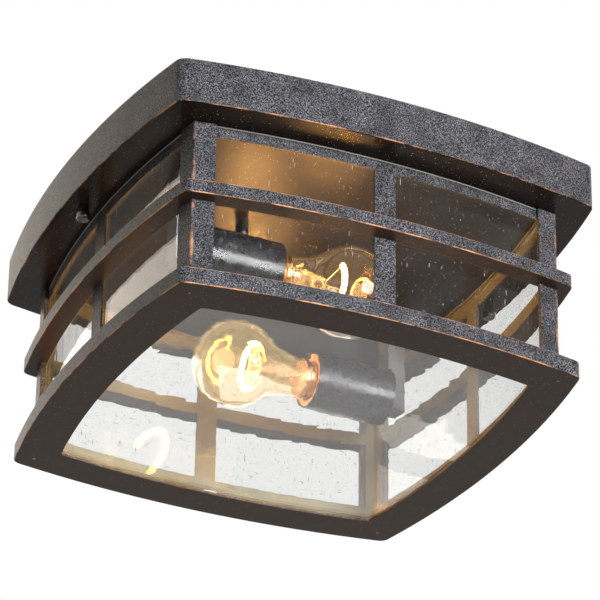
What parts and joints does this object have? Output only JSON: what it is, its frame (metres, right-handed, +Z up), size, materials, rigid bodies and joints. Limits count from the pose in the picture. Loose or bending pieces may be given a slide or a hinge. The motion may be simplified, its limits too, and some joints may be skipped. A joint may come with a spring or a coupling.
{
  "type": "outdoor ceiling light",
  "caption": "Bowed square flush-mount porch lantern: shallow pan, window cage with a mid band, wide bottom frame, seeded glass panes and clear lamps in sideways sockets.",
  "frame": {"origin": "middle of the mounting disc's upper face, on the ceiling", "axes": "+Z up into the ceiling, X along the front side, the front faces -Y"},
  "size_m": [0.33, 0.33, 0.1557],
  "materials": {
    "textured_bronze": "fine textured dark bronze powder coat with copper rubbed through along the edges",
    "seeded_glass": "clear glass with small seeds and streaks",
    "lamp_glass": "thin clear blown glass",
    "filament_glow": "lit tungsten coil",
    "lead_in_wire": "bright wire",
    "nickel_base": "rolled nickel-plated screw base",
    "black_vitrite": "black glass insulator",
    "solder": "soldered tip",
    "black_sleeve": "satin black paint",
    "arm_paint": "satin dark grey paint",
    "porcelain": "cream glazed porcelain",
    "brass": "plain brass",
    "satin_plate": "smooth satin bronze paint over rolled sheet",
    "zinc_steel": "zinc-plated steel",
    "black_nickel": "turned, black nickel plate",
    "green_screw": "green ground screw",
    "black_lead": "black insulation",
    "white_lead": "white insulation",
    "orange_connector": "moulded plastic"
  },
  "bodies": {
    "ceiling_mount": {"ceiling_plate": "satin_plate", "mounting_disc": "zinc_steel", "disc_studs": "zinc_steel", "stud_lock_nuts": "zinc_steel", "plate_nuts": "black_sleeve", "housing_studs": "zinc_steel", "ground_screw": "green_screw", "socket_arm_back": "arm_paint", "socket_arm_front": "arm_paint", "arm_screws": "zinc_steel", "socket_sleeve_back": "black_sleeve", "socket_sleeve_front": "black_sleeve", "lampholder_back": "porcelain", "lampholder_front": "porcelain", "screw_shell_back": "brass", "screw_shell_front": "brass", "centre_contact_back": "brass", "centre_contact_front": "brass", "socket_nipple_back": "brass", "socket_nipple_front": "brass", "live_leads": "black_lead", "neutral_leads": "white_lead", "wire_connectors": "orange_connector"},
    "housing": {"pan": "textured_bronze", "side_frame_front": "textured_bronze", "side_frame_right": "textured_bronze", "side_frame_back": "textured_bronze", "side_frame_left": "textured_bronze", "upper_post_front_left": "textured_bronze", "upper_post_front_right": "textured_bronze", "upper_post_back_right": "textured_bronze", "upper_post_back_left": "textured_bronze", "lower_post_front_left": "textured_bronze", "lower_post_front_right": "textured_bronze", "lower_post_back_right": "textured_bronze", "lower_post_back_left": "textured_bronze", "mid_band": "textured_bronze", "bottom_frame": "textured_bronze", "side_glass_front": "seeded_glass", "side_glass_right": "seeded_glass", "side_glass_back": "seeded_glass", "side_glass_left": "seeded_glass", "bottom_glass": "seeded_glass", "glass_tabs": "zinc_steel"},
    "cap_nut_left": {"cap_nut_left": "black_nickel"},
    "cap_nut_right": {"cap_nut_right": "black_nickel"},
    "lamp_back": {"lamp_glass_back": "lamp_glass", "lamp_base_back": "nickel_base", "lamp_insulator_back": "black_vitrite", "lamp_tip_back": "solder", "lamp_stem_back": "lamp_glass", "filament_back": "filament_glow", "lead_in_wires_back": "lead_in_wire"},
    "lamp_front": {"lamp_glass_front": "lamp_glass", "lamp_base_front": "nickel_base", "lamp_insulator_front": "black_vitrite", "lamp_tip_front": "solder", "lamp_stem_front": "lamp_glass", "filament_front": "filament_glow", "lead_in_wires_front": "lead_in_wire"}
  },
  "joints": [
    {"name": "housing_lower", "type": "slide", "parent": "ceiling_mount", "child": "housing", "axis": [0, 0, -1], "range_m": [0, 0.14]},
    {"name": "cap_nut_left_turn", "type": "hinge", "parent": "housing", "child": "cap_nut_left", "pos_m": [-0.1525, 0, -0.0314], "axis": [0, 0, 1], "continuous": true},
    {"name": "cap_nut_right_turn", "type": "hinge", "parent": "housing", "child": "cap_nut_right", "pos_m": [0.1525, 0, -0.0314], "axis": [0, 0, 1], "continuous": true},
    {"name": "lamp_back_turn", "type": "hinge", "parent": "ceiling_mount", "child": "lamp_back", "pos_m": [0.05, 0.0613, -0.0852], "axis": [1, 0, 0], "continuous": true},
    {"name": "lamp_front_turn", "type": "hinge", "parent": "ceiling_mount", "child": "lamp_front", "pos_m": [-0.05, -0.0613, -0.0852], "axis": [-1, 0, 0], "continuous": true}
  ]
}
